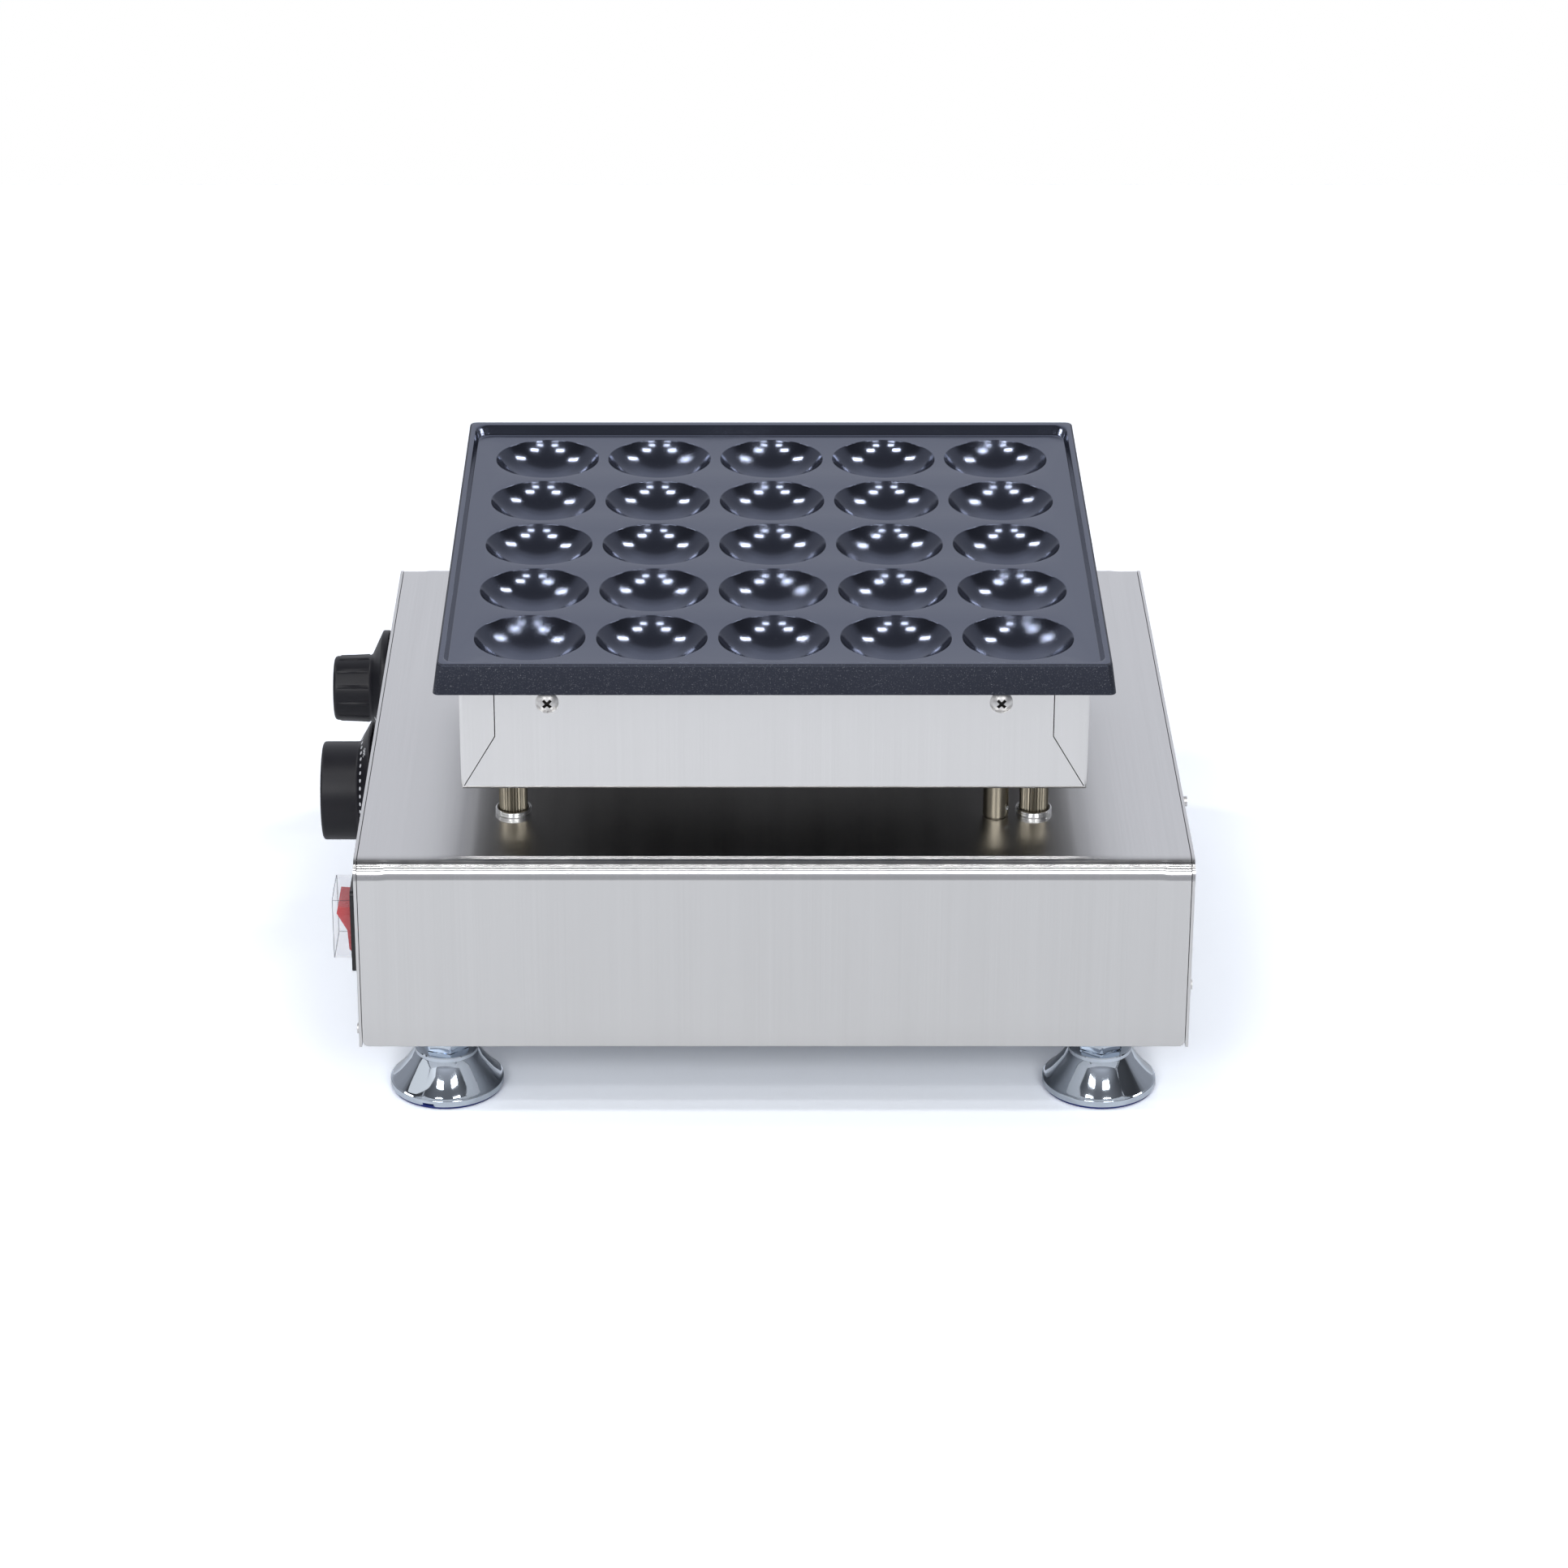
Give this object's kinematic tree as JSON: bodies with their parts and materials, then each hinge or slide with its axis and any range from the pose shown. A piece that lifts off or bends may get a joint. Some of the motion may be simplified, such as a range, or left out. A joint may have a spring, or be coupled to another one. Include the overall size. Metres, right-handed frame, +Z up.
{
  "type": "mini pancake maker",
  "caption": "Square non-stick pan with a grid of shallow round bowls on a steel tray, raised on posts over a wide steel housing with dials, a covered rocker switch and adjustable feet.",
  "frame": {"origin": "on the floor, under the middle of the whole box", "axes": "+X to the right seen from the front, +Y to the back, +Z up"},
  "size_m": [0.3626, 0.326, 0.1936],
  "materials": {
    "cast_pan": "dark grey non-stick coating over cast aluminium, slightly glossy, fine speckle",
    "steel": "brushed stainless sheet",
    "steel_plain": "plain bright steel",
    "nickel": "nickel plated, slightly warm",
    "chrome": "polished chrome",
    "heater_sheath": "heat-stained steel",
    "ceramic": null,
    "blanket": "ceramic fibre blanket",
    "knob_black": "satin black phenolic",
    "black_plastic": "glossy black plastic",
    "red_rocker": "translucent red plastic",
    "clear_cover": "clear flexible plastic",
    "green_lens": "translucent green plastic",
    "amber_lens": "translucent amber plastic",
    "copper": "bare copper",
    "brass": "brass",
    "cream_plastic": "cream moulded plastic",
    "wire_red": "heat-proof sleeving",
    "foot_pad": "dark blue non-slip pad",
    "black_rubber": "black rubber"
  },
  "bodies": {
    "appliance": {"pan": "cast_pan", "heating_element": "heater_sheath", "element_terminals": "ceramic", "element_clamps": "steel_plain", "clamp_screws": "steel_plain", "tray": "steel", "insulation": "blanket", "tray_screws": "steel_plain", "posts": "nickel", "post_eyelets": "chrome", "post_bolts": "steel_plain", "post_nuts": "steel_plain", "conduit": "nickel", "conduit_nuts": "steel_plain", "set_screw": "steel_plain", "housing_cover": "steel", "control_panel": "steel", "right_panel": "steel", "base_plate": "steel_plain", "panel_screws": "steel_plain", "base_screws": "steel_plain", "foot_inserts": "steel_plain", "thermostat_body": "cream_plastic", "capillary": "copper", "bulb": "copper", "bulb_clip": "steel_plain", "timer_body": "cream_plastic", "control_nuts": "steel_plain", "switch_body": "black_plastic", "switch_bezel": "black_plastic", "switch_cover": "clear_cover", "power_lamp": "green_lens", "heat_lamp": "amber_lens", "terminal_block": "cream_plastic", "earth_screw": "brass", "wire_loom": "wire_red", "gland_body": "black_plastic", "gland_seal": "black_rubber", "gland_cap": "black_plastic", "gland_locknut": "black_plastic"},
    "thermostat_dial": {"thermostat_knob": "knob_black", "thermostat_shaft": "brass"},
    "timer_dial": {"timer_knob": "knob_black", "timer_shaft": "brass"},
    "rocker": {"rocker": "red_rocker"},
    "foot_1": {"foot_bell_1": "chrome", "foot_stud_1": "chrome", "foot_pad_1": "foot_pad"},
    "foot_2": {"foot_bell_2": "chrome", "foot_stud_2": "chrome", "foot_pad_2": "foot_pad"},
    "foot_3": {"foot_bell_3": "chrome", "foot_stud_3": "chrome", "foot_pad_3": "foot_pad"},
    "foot_4": {"foot_bell_4": "chrome", "foot_stud_4": "chrome", "foot_pad_4": "foot_pad"}
  },
  "joints": [
    {"name": "thermostat_turn", "type": "hinge", "parent": "appliance", "child": "thermostat_dial", "pos_m": [-0.16775, -0.0365, 0.0894], "axis": [1, 0, 0], "range_deg": [0, 290]},
    {"name": "timer_turn", "type": "hinge", "parent": "appliance", "child": "timer_dial", "pos_m": [-0.16775, 0.0695, 0.0894], "axis": [1, 0, 0], "range_deg": [0, 300]},
    {"name": "rocker_tilt", "type": "hinge", "parent": "appliance", "child": "rocker", "pos_m": [-0.15375, -0.1395, 0.0819], "axis": [0, 1, 0], "range_deg": [0, 32]},
    {"name": "foot_1_height", "type": "slide", "parent": "appliance", "child": "foot_1", "axis": [0, 0, 1], "range_m": [-0.01, 0]},
    {"name": "foot_2_height", "type": "slide", "parent": "appliance", "child": "foot_2", "axis": [0, 0, 1], "range_m": [-0.01, 0]},
    {"name": "foot_3_height", "type": "slide", "parent": "appliance", "child": "foot_3", "axis": [0, 0, 1], "range_m": [-0.01, 0]},
    {"name": "foot_4_height", "type": "slide", "parent": "appliance", "child": "foot_4", "axis": [0, 0, 1], "range_m": [-0.01, 0]}
  ]
}
